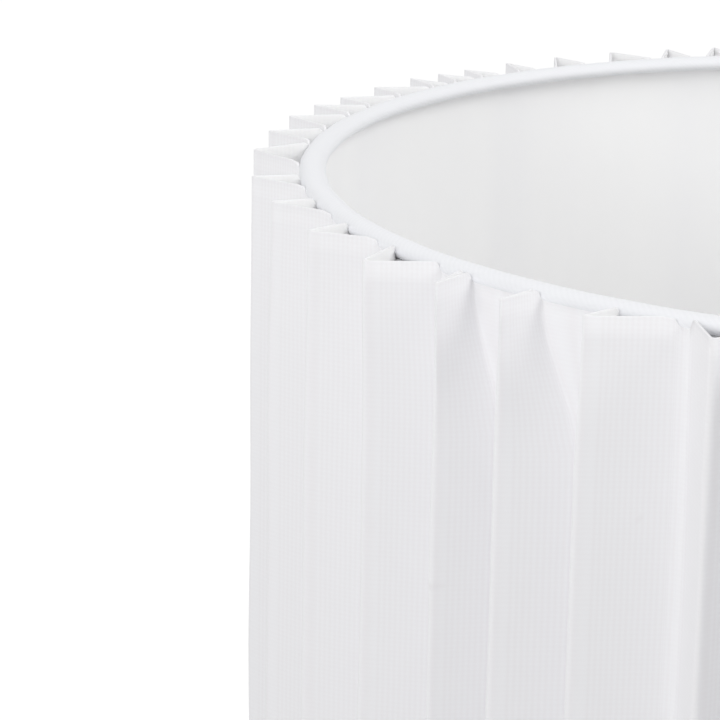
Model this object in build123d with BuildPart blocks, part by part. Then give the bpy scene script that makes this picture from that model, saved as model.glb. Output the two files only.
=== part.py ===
from build123d import *
import os
from math import cos, pi, radians, sin

# Table lamp with a pleated fabric drum shade on a slim stem and a round weighted base.
# Millimetres, +Z up. The origin is the middle of the face that the lamp stands on.
# The shade opens at the top and the bottom, and a wire spider at its lower ring carries it on the lampholder.

# Round pieces that stay out of sight are built with this many flats
hidden_sides = 24

# Clearances
wrap_gap = 0.05       # between pieces that are glued, wrapped or clamped on one another
seat_gap = 0.1        # round a piece that is pushed into another
pass_gap = 0.4        # round a rod that only passes through
turn_gap = 0.06       # running fit of the switch shaft
shade_play = 0.15     # above and below the fitter, between the two shade rings

# Pleated cover
shade_radius = 100.0      # to the outer folds
shade_height = 150.0
pleat_count = 54
pleat_depth = 6.8
long_drift = 7.4          # degrees by which the folds wander from even spacing, twice round the shade
long_drift_at = 227.0     # degrees, where this drift spreads the folds most
short_drift = 2.8         # the same, four times round
short_drift_at = 202.0
fabric_thickness = 0.45
fold_nose = 0.6           # width of the rounded nose of each fold

# Liner and the bound wire rings inside its edges
liner_thickness = 0.4
liner_stand = 0.3         # room between liner and valleys, where the binding tape turns down
ring_wire_radius = 1.1
tape_thickness = 0.3
edge_stand = 0.4          # how far the pleats stand past the rings

# Spider
arm_count = 3
arm_radius = 1.4
arm_sides = 8
arm_bend = 9.0
arm_foot = 9.0            # straight stretch at the ring
arm_head = 5.0            # straight stretch at the fitter
spider_drop = 18.0        # from the fitter down to the lower ring
fitter_hole_radius = 21.0
fitter_rim = 8.0
fitter_thickness = 1.5

# Base
pad_thickness = 2.0
pad_inset = 2.0
pad_proud = 1.0           # how far the pad holds the cover off the table
base_radius = 65.0
base_sheet = 1.2
weight_thickness = 14.0
weight_inset = 2.3
nut_recess_radius = 15.0
nut_recess_depth = 11.0
cord_channel_width = 8.0
cord_channel_height = 8.0

# Cord inlet
inlet_bore_radius = 3.0
inlet_neck_wall = 1.1
inlet_flange_width = 1.0
inlet_flange_thickness = 1.3
inlet_height = 6.3

# Threaded rod, nut and washer
rod_radius = 4.9
rod_bore_radius = 3.6
rod_tail = 2.0            # below the nut
rod_grip = 9.0            # into the lampholder
nut_across_flats = 14.0
nut_thickness = 4.0
washer_width = 20.0       # square plate washer
washer_thickness = 1.5

# Stem
stem_radius = 6.5
stem_wall = 1.2
stem_length = 158.0
foot_collar_radius = 13.0
foot_collar_height = 5.0

# Lampholder
boss_radius = 9.0
boss_height = 4.0
cap_radius = 24.0
cap_height = 24.0
cap_floor_height = 11.0
shell_thread_radius = 19.8
shell_wall = 2.5
shell_stand = 36.0            # above the cap
core_height = 22.0            # underside of the core above the lampholder's foot
core_thickness = 8.0
screw_shell_bore_radius = 13.4
screw_shell_wall = 0.35
screw_shell_height = 23.0
contact_reach = 6.0
contact_width = 5.0
contact_sheet = 0.4
contact_rise = 3.0
terminal_size = 5.0
terminal_height = 7.0
terminal_x = -9.0
terminal_y = 6.0
screw_sides = 12
terminal_screw_radius = 1.6
terminal_screw_length = 2.4
terminal_screw_drop = 4.0
locking_screw_radius = 1.5
locking_screw_head = 0.6

# Shade ring on the lampholder thread
shade_ring_radius = 27.0
shade_ring_thickness = 4.5
grip_count = 12
grip_width = 1.6
grip_depth = 0.8

# Rotary switch
switch_width = 12.0
switch_height = 9.0
switch_near = 4.0             # from the lamp axis to the block
shaft_radius = 2.0
shaft_bite = 7.0              # into the switch block
shaft_hole_gap = 0.3
knob_radius = 6.0
knob_length = 10.0
knob_stand = 0.6              # off the lampholder cap
knob_bore_depth = 8.0
knob_flute_count = 12
knob_flute_width = 0.9
knob_flute_depth = 0.6

# Tubular LED bulb
bulb_radius = 19.0
bulb_length = 100.0
bulb_end_bevel = 6.0
bulb_housing_radius = 16.0
bulb_housing_length = 16.0
bulb_cap_radius = 13.15
bulb_cap_length = 26.0        # with the button
button_radius = 4.5
button_height = 1.2

# Levels, from the table up
weight_bottom = pad_thickness
weight_top = weight_bottom + weight_thickness
base_top = weight_top + base_sheet
recess_roof = weight_bottom + nut_recess_depth
washer_bottom = recess_roof - washer_thickness
nut_bottom = washer_bottom - nut_thickness
rod_bottom = nut_bottom - rod_tail
holder_foot = base_top + stem_length
rod_top = holder_foot + rod_grip
cap_floor = holder_foot + cap_floor_height
cap_top = holder_foot + cap_height
shell_top = cap_top + shell_stand
core_bottom = holder_foot + core_height
core_top = core_bottom + core_thickness
bulb_bottom = core_top + contact_rise
fitter_bottom = cap_top + shade_play
fitter_middle = fitter_bottom + fitter_thickness / 2
fitter_top = fitter_bottom + fitter_thickness
switch_level = cap_floor + switch_height / 2
lower_ring_level = fitter_middle - spider_drop
bound_radius = ring_wire_radius + tape_thickness
shade_bottom = lower_ring_level - bound_radius - edge_stand
shade_top = shade_bottom + shade_height
upper_ring_level = shade_top - edge_stand - bound_radius

# Radii, from the pleats inward
valley_radius = shade_radius - pleat_depth
liner_radius = valley_radius - fabric_thickness - liner_stand
liner_bore_radius = liner_radius - liner_thickness
ring_radius = liner_bore_radius - wrap_gap - bound_radius
stem_bore_radius = stem_radius - stem_wall
shell_bore_radius = shell_thread_radius - shell_wall
cap_bore_radius = shell_thread_radius + seat_gap
rod_hole_radius = rod_radius + pass_gap
rod_seat_radius = rod_radius + wrap_gap
cover_bore_radius = base_radius - base_sheet
weight_radius = base_radius - base_sheet - weight_inset
inlet_neck_radius = inlet_bore_radius + inlet_neck_wall

os.makedirs("parts", exist_ok=True)


def save(piece, name):
    """Label a finished piece and write it to its own file."""
    piece.part.label = name
    export_step(piece.part, f"parts/{name}.step")


# Pleated cover: one strip of fabric folded in and out all the way round. The folds wander a little from even
# spacing, so that the pleats stand wide open in some places and crowd together in others. Each fold ends in a
# narrow nose.

def fold_nose_points(step):
    """The two edges of a fold's nose: even steps are outer folds and odd steps are valleys."""
    even_angle = pi * step / pleat_count
    long_wander = radians(long_drift) * sin(2 * (even_angle - radians(long_drift_at)))
    short_wander = radians(short_drift) * sin(4 * (even_angle - radians(short_drift_at)))
    radius = shade_radius if step % 2 == 0 else valley_radius
    half_nose = fold_nose / 2 / radius
    middle = even_angle + long_wander + short_wander
    return [(radius * cos(angle), radius * sin(angle)) for angle in (middle - half_nose, middle + half_nose)]


with BuildPart() as pleated_cover:
    with BuildSketch(Plane.XY.offset(shade_bottom)):
        with BuildLine():
            Polyline(*[point for step in range(2 * pleat_count) for point in fold_nose_points(step)], close=True)
        make_face()
        offset(amount=-fabric_thickness, kind=Kind.INTERSECTION, mode=Mode.SUBTRACT)
    extrude(amount=shade_height)
save(pleated_cover, "pleated_cover")

# Smooth liner behind the pleats.
liner_bottom = shade_bottom + edge_stand
liner_top = shade_top - edge_stand

with BuildPart() as shade_liner:
    with BuildSketch(Plane.XY.offset(liner_bottom)):
        Circle(liner_radius)
        Circle(liner_bore_radius, mode=Mode.SUBTRACT)
    extrude(amount=liner_top - liner_bottom)
save(shade_liner, "shade_liner")


# Wire rings bound in tape, one inside each edge of the liner, with the section squared off to the bound size.

def bound_ring(level):
    with BuildPart() as ring:
        with BuildSketch(Plane.XZ):
            with Locations((ring_radius, level)):
                Rectangle(2 * bound_radius, 2 * bound_radius)
        revolve(axis=Axis.Z)
    return ring


top_ring = bound_ring(upper_ring_level)
save(top_ring, "top_ring")

bottom_ring = bound_ring(lower_ring_level)
save(bottom_ring, "bottom_ring")

# Spider: a flat fitter ring and three bent wire arms that drop to the lower ring.
fitter_radius = fitter_hole_radius + fitter_rim

with BuildPart() as fitter_ring:
    with BuildSketch(Plane.XY.offset(fitter_bottom)):
        Circle(fitter_radius)
        Circle(fitter_hole_radius, mode=Mode.SUBTRACT)
    extrude(amount=fitter_thickness)
save(fitter_ring, "fitter_ring")

arm_start = fitter_radius + wrap_gap
arm_end = ring_radius - bound_radius - wrap_gap

for number in range(arm_count):
    arm_angle = 90 + number * 360 / arm_count
    arm_plane = Plane(origin=(0, 0, 0), x_dir=(1, 0, 0), z_dir=(0, -1, 0)).rotated((0, 0, arm_angle))
    with BuildPart() as spider_arm:
        with BuildLine(arm_plane) as arm_path:
            FilletPolyline(
                (arm_start, fitter_middle),
                (arm_start + arm_head, fitter_middle),
                (arm_end - arm_foot, lower_ring_level),
                (arm_end, lower_ring_level),
                radius=arm_bend,
            )
        with BuildSketch(Plane(origin=arm_path.line @ 0, z_dir=arm_path.line % 0)):
            RegularPolygon(arm_radius, arm_sides)
        sweep(path=arm_path.line)
    save(spider_arm, f"spider_arm_{number + 1}")

# Felt pad and cast weight under the base.
with BuildPart() as base_pad:
    with BuildSketch():
        Circle(base_radius - base_sheet - pad_inset)
    extrude(amount=pad_thickness)
save(base_pad, "base_pad")

with BuildPart() as base_weight:
    with BuildSketch(Plane.XY.offset(weight_bottom)):
        Circle(weight_radius)
        Circle(rod_hole_radius, mode=Mode.SUBTRACT)
    extrude(amount=weight_thickness)
    with BuildSketch(Plane.XY.offset(weight_bottom)):
        Circle(nut_recess_radius)
    extrude(amount=nut_recess_depth, mode=Mode.SUBTRACT)
    # channel for the cord, from the inlet at the back to the recess
    with BuildSketch(Plane.XY.offset(weight_bottom)):
        Rectangle(cord_channel_width, base_radius, align=(Align.CENTER, Align.MIN))
    extrude(amount=cord_channel_height, mode=Mode.SUBTRACT)
save(base_weight, "base_weight")

# Pressed cover of the base, with the inlet hole at the back.
with BuildPart() as base_cover:
    with BuildSketch(Plane.XZ):
        with BuildLine():
            Polyline(
                (rod_hole_radius, base_top),
                (base_radius, base_top),
                (base_radius, pad_proud),
                (cover_bore_radius, pad_proud),
                (cover_bore_radius, weight_top),
                (rod_hole_radius, weight_top),
                close=True,
            )
        make_face()
    revolve(axis=Axis.Z)
    with BuildSketch(Plane.XZ.offset(-base_radius)):
        with Locations((0, inlet_height)):
            Circle(inlet_neck_radius + wrap_gap)
    extrude(amount=base_radius - weight_radius, both=True, mode=Mode.SUBTRACT)
save(base_cover, "base_cover")

# Rubber grommet that lines the inlet: a neck through the sheet with a flange outside it.
inlet_start = cover_bore_radius - inlet_flange_thickness
inlet_end = base_radius + wrap_gap + inlet_flange_thickness

with BuildPart() as cord_grommet:
    with BuildSketch(Plane.YZ):
        with Locations((inlet_start, inlet_height + inlet_bore_radius)):
            Rectangle(inlet_end - inlet_start, inlet_neck_wall, align=Align.MIN)
        with Locations((inlet_end, inlet_height + inlet_bore_radius)):
            Rectangle(
                inlet_flange_thickness,
                inlet_neck_wall + inlet_flange_width,
                align=(Align.MAX, Align.MIN),
            )
    revolve(axis=Axis((0, 0, inlet_height), (0, 1, 0)))
save(cord_grommet, "cord_grommet")

# Hollow threaded rod that clamps base, stem and lampholder together, with its nut and washer.
with BuildPart() as threaded_rod:
    with BuildSketch(Plane.XY.offset(rod_bottom)):
        Circle(rod_radius)
        Circle(rod_bore_radius, mode=Mode.SUBTRACT)
    extrude(amount=rod_top - rod_bottom)
save(threaded_rod, "threaded_rod")

with BuildPart() as rod_nut:
    with BuildSketch(Plane.XY.offset(nut_bottom)):
        RegularPolygon(nut_across_flats / 2, 6, major_radius=False)
        Circle(rod_seat_radius, mode=Mode.SUBTRACT)
    extrude(amount=nut_thickness)
save(rod_nut, "rod_nut")

with BuildPart() as rod_washer:
    with BuildSketch(Plane.XY.offset(washer_bottom)):
        Rectangle(washer_width, washer_width)
        Circle(rod_seat_radius, mode=Mode.SUBTRACT)
    extrude(amount=washer_thickness)
save(rod_washer, "rod_washer")

# Stem tube, with a turned collar at its foot.
with BuildPart() as stem_tube:
    with BuildSketch(Plane.XY.offset(base_top)):
        Circle(stem_radius)
        Circle(stem_bore_radius, mode=Mode.SUBTRACT)
    extrude(amount=stem_length)
save(stem_tube, "stem_tube")

with BuildPart() as foot_collar:
    with BuildSketch(Plane.XY.offset(base_top)):
        Circle(foot_collar_radius)
        Circle(stem_radius + wrap_gap, mode=Mode.SUBTRACT)
    extrude(amount=foot_collar_height)
save(foot_collar, "foot_collar")

# Lampholder cap: a boss on the rod under a cup for the shell and the switch.
locking_level = holder_foot + boss_height / 2

with BuildPart() as holder_cap:
    with BuildSketch(Plane.XZ):
        with BuildLine():
            Polyline(
                (rod_seat_radius, holder_foot),
                (boss_radius, holder_foot),
                (boss_radius, holder_foot + boss_height),
                (cap_radius, holder_foot + boss_height),
                (cap_radius, cap_top),
                (cap_bore_radius, cap_top),
                (cap_bore_radius, cap_floor),
                (rod_seat_radius, cap_floor),
                close=True,
            )
        make_face()
    revolve(axis=Axis.Z)
    # hole for the switch shaft
    with BuildSketch(Plane.YZ.offset(shell_bore_radius)):
        with Locations((0, switch_level)):
            Circle(shaft_radius + shaft_hole_gap)
    extrude(amount=cap_radius, mode=Mode.SUBTRACT)
    # hole for the locking screw, square to the shaft
    with BuildSketch(Plane.XZ.offset(rod_radius)):
        with Locations((0, locking_level)):
            Circle(locking_screw_radius + wrap_gap)
    extrude(amount=cap_radius, mode=Mode.SUBTRACT)
save(holder_cap, "holder_cap")

with BuildPart() as locking_screw:
    with BuildSketch(Plane.XZ.offset(rod_seat_radius)):
        with Locations((0, locking_level)):
            RegularPolygon(locking_screw_radius, screw_sides)
    extrude(amount=boss_radius + locking_screw_head - rod_seat_radius)
save(locking_screw, "locking_screw")

# Lampholder shell: the threaded skirt that stands in the cap and carries the shade ring.
with BuildPart() as holder_shell:
    with BuildSketch(Plane.XY.offset(cap_floor)):
        Circle(shell_thread_radius)
        Circle(shell_bore_radius, mode=Mode.SUBTRACT)
    extrude(amount=shell_top - cap_floor)
    with BuildSketch(Plane.YZ):
        with Locations((0, switch_level)):
            Circle(shaft_radius + shaft_hole_gap)
    extrude(amount=cap_radius, mode=Mode.SUBTRACT)
save(holder_shell, "holder_shell")

with BuildPart() as holder_core:
    with BuildSketch(Plane.XY.offset(core_bottom)):
        RegularPolygon(shell_bore_radius - seat_gap, hidden_sides)
    extrude(amount=core_thickness)
save(holder_core, "holder_core")

with BuildPart() as screw_shell:
    with BuildSketch(Plane.XY.offset(core_top)):
        RegularPolygon(screw_shell_bore_radius + screw_shell_wall, hidden_sides, major_radius=False)
        RegularPolygon(screw_shell_bore_radius, hidden_sides, major_radius=False, mode=Mode.SUBTRACT)
    extrude(amount=screw_shell_height)
save(screw_shell, "screw_shell")

# Sprung tongue that meets the bulb's button.
with BuildPart() as centre_contact:
    with BuildSketch(Plane.XZ):
        with BuildLine():
            Polyline(
                (-contact_reach, core_top),
                (-contact_reach / 2, core_top),
                (contact_reach / 2, bulb_bottom - contact_sheet),
                (contact_reach / 2, bulb_bottom),
                (contact_reach / 2 - contact_sheet, bulb_bottom),
                (-contact_reach / 2 - contact_sheet, core_top + contact_sheet),
                (-contact_reach, core_top + contact_sheet),
                close=True,
            )
        make_face()
    extrude(amount=contact_width / 2, both=True)
save(centre_contact, "centre_contact")

# Two brass terminals under the core, each with its screw.
with BuildPart() as terminals:
    with BuildSketch(Plane.XY.offset(core_bottom - terminal_height)):
        with Locations((terminal_x, terminal_y), (terminal_x, -terminal_y)):
            Rectangle(terminal_size, terminal_size)
    extrude(amount=terminal_height)
save(terminals, "terminals")

with BuildPart() as terminal_screws:
    with BuildSketch(Plane.YZ.offset(terminal_x - terminal_size / 2)):
        with Locations(
            (terminal_y, core_bottom - terminal_screw_drop),
            (-terminal_y, core_bottom - terminal_screw_drop),
        ):
            RegularPolygon(terminal_screw_radius, screw_sides)
    extrude(amount=-terminal_screw_length)
save(terminal_screws, "terminal_screws")


# Shade ring: a notched ring on the lampholder's thread that holds the fitter down on the cap.
with BuildPart() as shade_ring:
    with BuildSketch(Plane.XY.offset(fitter_top + shade_play)):
        Circle(shade_ring_radius)
        Circle(shell_thread_radius + seat_gap, mode=Mode.SUBTRACT)
        with PolarLocations(shade_ring_radius, grip_count):
            Rectangle(2 * grip_depth, grip_width, mode=Mode.SUBTRACT)
    extrude(amount=shade_ring_thickness)
save(shade_ring, "shade_ring")

# Rotary switch: a block in the shell, a steel shaft and a fluted knob.
shaft_hole_radius = shaft_radius + turn_gap
switch_far = ((shell_bore_radius - seat_gap) ** 2 - (switch_width / 2) ** 2) ** 0.5
shaft_start = switch_far - shaft_bite
knob_start = cap_radius + knob_stand
shaft_end = knob_start + knob_bore_depth

with BuildPart() as switch_block:
    with BuildSketch(Plane.XY.offset(cap_floor)):
        with Locations((switch_near, 0)):
            Rectangle(switch_far - switch_near, switch_width, align=(Align.MIN, Align.CENTER))
    extrude(amount=switch_height)
    with BuildSketch(Plane.YZ.offset(shaft_start - turn_gap)):
        with Locations((0, switch_level)):
            Circle(shaft_hole_radius)
    extrude(amount=shaft_bite + turn_gap, mode=Mode.SUBTRACT)
save(switch_block, "switch_block")

with BuildPart() as switch_shaft:
    with BuildSketch(Plane.YZ.offset(shaft_start)):
        with Locations((0, switch_level)):
            Circle(shaft_radius)
    extrude(amount=shaft_end - wrap_gap - shaft_start)
save(switch_shaft, "switch_shaft")

with BuildPart() as switch_knob:
    with BuildSketch(Plane.YZ.offset(knob_start)):
        with Locations((0, switch_level)):
            Circle(knob_radius)
            with PolarLocations(knob_radius, knob_flute_count):
                Rectangle(2 * knob_flute_depth, knob_flute_width, mode=Mode.SUBTRACT)
    extrude(amount=knob_length)
    with BuildSketch(Plane.YZ.offset(knob_start)):
        with Locations((0, switch_level)):
            Circle(shaft_radius + wrap_gap)
    extrude(amount=knob_bore_depth, mode=Mode.SUBTRACT)
save(switch_knob, "switch_knob")

# Bulb: contact button, screw cap, plastic housing and opal tube with a rounded end.
bulb_cap_bottom = bulb_bottom + button_height
bulb_cap_top = bulb_bottom + bulb_cap_length
bulb_tube_bottom = bulb_cap_top + bulb_housing_length
bulb_top = bulb_bottom + bulb_length

with BuildPart() as bulb_contact:
    with BuildSketch(Plane.XY.offset(bulb_bottom)):
        RegularPolygon(button_radius, hidden_sides)
    extrude(amount=button_height)
save(bulb_contact, "bulb_contact")

with BuildPart() as bulb_cap:
    with BuildSketch(Plane.XY.offset(bulb_cap_bottom)):
        RegularPolygon(bulb_cap_radius, hidden_sides)
    extrude(amount=bulb_cap_top - bulb_cap_bottom)
save(bulb_cap, "bulb_cap")

with BuildPart() as bulb_housing:
    with BuildSketch(Plane.XY.offset(bulb_cap_top)):
        Circle(bulb_housing_radius)
    extrude(amount=bulb_housing_length)
save(bulb_housing, "bulb_housing")

with BuildPart() as bulb_tube:
    with BuildSketch(Plane.XY.offset(bulb_tube_bottom)):
        Circle(bulb_radius)
    extrude(amount=bulb_top - bulb_tube_bottom)
    chamfer(bulb_tube.faces().sort_by(Axis.Z)[-1].edges(), bulb_end_bevel)
save(bulb_tube, "bulb_tube")
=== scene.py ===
import math
import bmesh
import bpy
import numpy as np
from mathutils import Matrix, Vector


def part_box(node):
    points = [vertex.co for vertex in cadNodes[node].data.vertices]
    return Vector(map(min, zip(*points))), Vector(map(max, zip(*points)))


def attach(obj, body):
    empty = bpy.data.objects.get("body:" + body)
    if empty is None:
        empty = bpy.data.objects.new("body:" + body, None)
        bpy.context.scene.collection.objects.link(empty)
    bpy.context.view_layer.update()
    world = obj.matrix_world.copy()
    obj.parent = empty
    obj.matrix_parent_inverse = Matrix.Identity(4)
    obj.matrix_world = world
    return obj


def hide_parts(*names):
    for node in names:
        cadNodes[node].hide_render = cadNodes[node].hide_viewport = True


# Table lamp with a pleated cloth drum shade. Angles in the dictionaries are degrees and sizes are millimetres, except
# in the studio's, which has metres. Every mesh is worked out in millimetres and put into the file in metres.

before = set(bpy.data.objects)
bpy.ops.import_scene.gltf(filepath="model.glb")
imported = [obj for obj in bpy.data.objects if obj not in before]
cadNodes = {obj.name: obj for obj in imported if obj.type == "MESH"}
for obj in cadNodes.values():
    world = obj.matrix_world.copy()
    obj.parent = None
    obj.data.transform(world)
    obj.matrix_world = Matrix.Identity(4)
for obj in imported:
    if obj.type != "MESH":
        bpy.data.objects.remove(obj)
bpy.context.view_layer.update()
mm = 0.001
sharpFrom = math.radians(40)       # edges that turn more than this are shaded as sharp
print("frame loaded,", len(cadNodes), "nodes")


# small helpers

def nodeBox(name):
    # lowest and highest corner of a node, in millimetres
    low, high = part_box(name)
    return np.array(low) / mm, np.array(high) / mm


def linear(hexColour, alpha=1.0):
    # sRGB hex to the linear colour that a shader socket takes
    parts = np.array([int(hexColour[i:i + 2], 16) for i in (1, 3, 5)]) / 255
    value = np.where(parts <= 0.04045, parts / 12.92, ((parts + 0.055) / 1.055) ** 2.4)
    return (*value.tolist(), alpha)


def addNode(tree, kind, settings=None, links=None):
    # settings are node attributes, or input values where the key is a socket; links are input: output socket
    node = tree.nodes.new(kind)
    for key, value in (settings or {}).items():
        if isinstance(key, str) and hasattr(node, key):
            setattr(node, key, value)
        else:
            node.inputs[key].default_value = value
    for key, socket in (links or {}).items():
        tree.links.new(socket, node.inputs[key])
    return node


def newMaterial(name, shader):
    # a material with one Principled shader, its plain settings on the shader's own sockets
    material = bpy.data.materials.new(name)
    material.use_nodes = True
    tree = material.node_tree
    tree.nodes.clear()
    surface = addNode(tree, "ShaderNodeBsdfPrincipled", shader)
    addNode(tree, "ShaderNodeOutputMaterial", links={"Surface": surface.outputs[0]})
    return material, tree, surface


def addObject(name, data):
    thing = bpy.data.objects.new(name, data)
    bpy.context.scene.collection.objects.link(thing)
    return thing


def gridPiece(name, points, closedRows, closedColumns, uv=None, merge=False):
    # quads between neighbours on a grid of points, which has the shape (rows, columns, 3); uv, where given, is
    # (rows + 1, columns + 1, 2) in real millimetres
    rows, columns = points.shape[:2]
    i, j = np.meshgrid(np.arange(rows if closedRows else rows - 1),
                       np.arange(columns if closedColumns else columns - 1), indexing="ij")
    nextI, nextJ = (i + 1) % rows, (j + 1) % columns
    faces = np.stack([i * columns + j, i * columns + nextJ, nextI * columns + nextJ, nextI * columns + j], -1)
    mesh = bpy.data.meshes.new(name)
    mesh.from_pydata((points.reshape(-1, 3) * mm).tolist(), [], faces.reshape(-1, 4).tolist())
    if uv is not None:
        corners = np.stack([uv[i, j], uv[i, j + 1], uv[i + 1, j + 1], uv[i + 1, j]], 2)
        layer = mesh.uv_layers.new(name="UVMap")
        layer.data.foreach_set("uv", corners.reshape(-1).astype(np.float32))
    mesh.polygons.foreach_set("use_smooth", np.ones(len(mesh.polygons), bool))
    piece = addObject(name, mesh)
    if merge:
        closePoles(mesh)
    return piece


def closePoles(mesh):
    # merges the points that fall together on an axis, and turns every face outwards
    work = bmesh.new()
    work.from_mesh(mesh)
    bmesh.ops.remove_doubles(work, verts=work.verts, dist=1e-7)
    bmesh.ops.dissolve_degenerate(work, edges=work.edges, dist=1e-8)
    bmesh.ops.recalc_face_normals(work, faces=work.faces)
    work.to_mesh(mesh)
    work.free()
    mesh.update()


def squareSection(inside, outside, low, high):
    return [(inside, low), (outside, low), (outside, high), (inside, high)]


def roundCorners(corners, radii, closed, steps=6):
    # an outline with each corner replaced by an arc of its own radius, which touches the two straight runs beside it
    corners = np.array(corners, float)
    outline = []
    for index, (corner, radius) in enumerate(zip(corners, radii)):
        if radius <= 0 or not closed and index in (0, len(corners) - 1):
            outline.append(corner[None])
            continue
        toBefore = corners[index - 1] - corner
        toAfter = corners[(index + 1) % len(corners)] - corner
        before = toBefore / np.linalg.norm(toBefore)
        after = toAfter / np.linalg.norm(toAfter)
        half = np.arccos(np.clip(before @ after, -1, 1)) / 2
        centre = corner + (before + after) / np.linalg.norm(before + after) * radius / np.sin(half)
        start = corner + before * radius / np.tan(half) - centre
        end = corner + after * radius / np.tan(half) - centre
        sweep = np.pi - 2 * half
        part = np.linspace(0, 1, steps + 1)[:, None]
        outline.append(centre + (np.sin((1 - part) * sweep) * start + np.sin(part * sweep) * end) / np.sin(sweep))
    return np.concatenate(outline)


def onceRound(steps):
    return np.linspace(0, 2 * np.pi, steps, endpoint=False)


def turned(name, outline, closed=True, sides=192, change=None):
    # surface of revolution about +Z: the outline's (radius, height) carried round the circle.
    # change(radius, height, angle) may add a pattern, such as a thread or flutes, to the radius
    angle = onceRound(sides)
    radius = np.repeat(outline[:, :1], sides, 1)
    height = np.repeat(outline[:, 1:], sides, 1)
    if change is not None:
        radius = change(radius, height, angle[None])
    points = np.stack([radius * np.cos(angle), radius * np.sin(angle), height], -1)
    piece = gridPiece(name, points, closed, True, merge=True)
    piece.data.set_sharp_from_angle(angle=sharpFrom)
    return piece


def placed(piece, matrix):
    # moves the mesh itself, so that the object stays at the origin
    piece.data.transform(matrix)
    piece.data.update()
    return piece


def refine(outline, closed, step):
    # puts points on an outline's long runs: close to both ends, so that a flat stays flat beside a rounded edge,
    # and every step between them
    after = np.roll(outline, -1, 0) if closed else np.append(outline[1:], outline[-1:], 0)
    points = []
    for start, end in zip(outline, after):
        points.append(start)
        length = np.linalg.norm(end - start)
        if length > 1:
            share = np.append(np.arange(step, length - step / 2, step), [0.12, length - 0.12]) / length
            points += [start + (end - start) * part for part in np.sort(share)]
    return np.array(points)


def cutHole(piece, start, direction, radius, length, sides=48):
    # cuts a round hole, or a square one with 4 sides, and keeps the result as plain mesh data
    work = bmesh.new()
    bmesh.ops.create_cone(work, cap_ends=True, segments=sides, radius1=radius * mm, radius2=radius * mm,
                          depth=length * mm)
    turn = Vector(direction).to_track_quat("Z", "Y").to_matrix().to_4x4()
    place = Matrix.Translation(Vector(start) * mm) @ turn @ Matrix.Translation((0, 0, length * mm / 2))
    bmesh.ops.transform(work, matrix=place, verts=work.verts)
    cutMesh = bpy.data.meshes.new("cutter")
    work.to_mesh(cutMesh)
    work.free()
    cutter = addObject("cutter", cutMesh)
    modifier = piece.modifiers.new("hole", "BOOLEAN")
    modifier.object = cutter
    modifier.operation = "DIFFERENCE"
    modifier.solver = "EXACT"
    bpy.context.view_layer.update()
    mesh = bpy.data.meshes.new_from_object(piece.evaluated_get(bpy.context.evaluated_depsgraph_get()))
    piece.modifiers.clear()
    piece.data = mesh
    bpy.data.objects.remove(cutter)
    bpy.data.meshes.remove(cutMesh)
    mesh.set_sharp_from_angle(angle=sharpFrom)
    return piece


def finishPiece(piece, material, body, slot, *replaced):
    piece.data.materials.clear()
    piece.data.materials.append(material)
    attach(piece, body)
    if replaced:
        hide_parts(*replaced)
    return piece


# the photo's camera, fitted to the rim, the folds and the left side of the shade

camera = {
    "distance": 425.2,     # from the stem's axis
    "around": 2.9,         # of the camera's place, to the left of the front
    "aboveRim": 93.3,
    "turn": -8.465,        # to the left of +Y
    "tilt": 16.475,        # down
    "roll": 0.904,
    "lens": 146.45,
    "sensor": 36.0,
}
shadeLow, shadeHigh = nodeBox("pleated_cover")
shadeTop = shadeHigh[2]
shadeBottom = shadeLow[2]


def makeCamera(settings):
    turn, tilt, roll = (math.radians(settings[key]) for key in ("turn", "tilt", "roll"))
    ahead = Vector((math.sin(turn) * math.cos(tilt), math.cos(turn) * math.cos(tilt), -math.sin(tilt)))
    level = Vector((math.cos(turn), -math.sin(turn), 0))
    upright = level.cross(ahead)
    right = math.cos(roll) * level + math.sin(roll) * upright
    up = math.cos(roll) * upright - math.sin(roll) * level
    lens = bpy.data.cameras.new("photoCamera")
    lens.sensor_width = settings["sensor"]
    lens.lens = settings["lens"]
    lens.clip_start = 0.05
    lens.clip_end = 50
    holder = addObject("photoCamera", lens)
    axes = Matrix((right, up, -ahead)).transposed().to_4x4()
    around = math.radians(settings["around"])
    away = settings["distance"]
    height = shadeTop + settings["aboveRim"]
    axes.translation = Vector((-away * math.sin(around), -away * math.cos(around), height)) * mm
    holder.matrix_world = axes
    bpy.context.scene.camera = holder


makeCamera(camera)
print("camera set")


# floor, world and lamps

studio = {
    "floorColour": "#F0F0F0",
    "floorReach": 14.0,
    "floorLift": 0.4,          # light that the floor adds for the camera, to clear to white round its shadows
    "worldColour": "#FFFFFF",
    "worldLight": 0.7,
    # softboxes close to the shade, aimed over its rim so that their light falls off down the folds:
    # name, place, watts
    "softboxes": [("frontSoftbox", (-0.4, -0.62, 0.66), 0.37), ("rightSoftbox", (0.55, -0.05, 0.85), 0.34)],
    "softboxSize": 0.45,
    "softboxSpread": 70.0,
    "softboxAim": 0.49,
}


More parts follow.
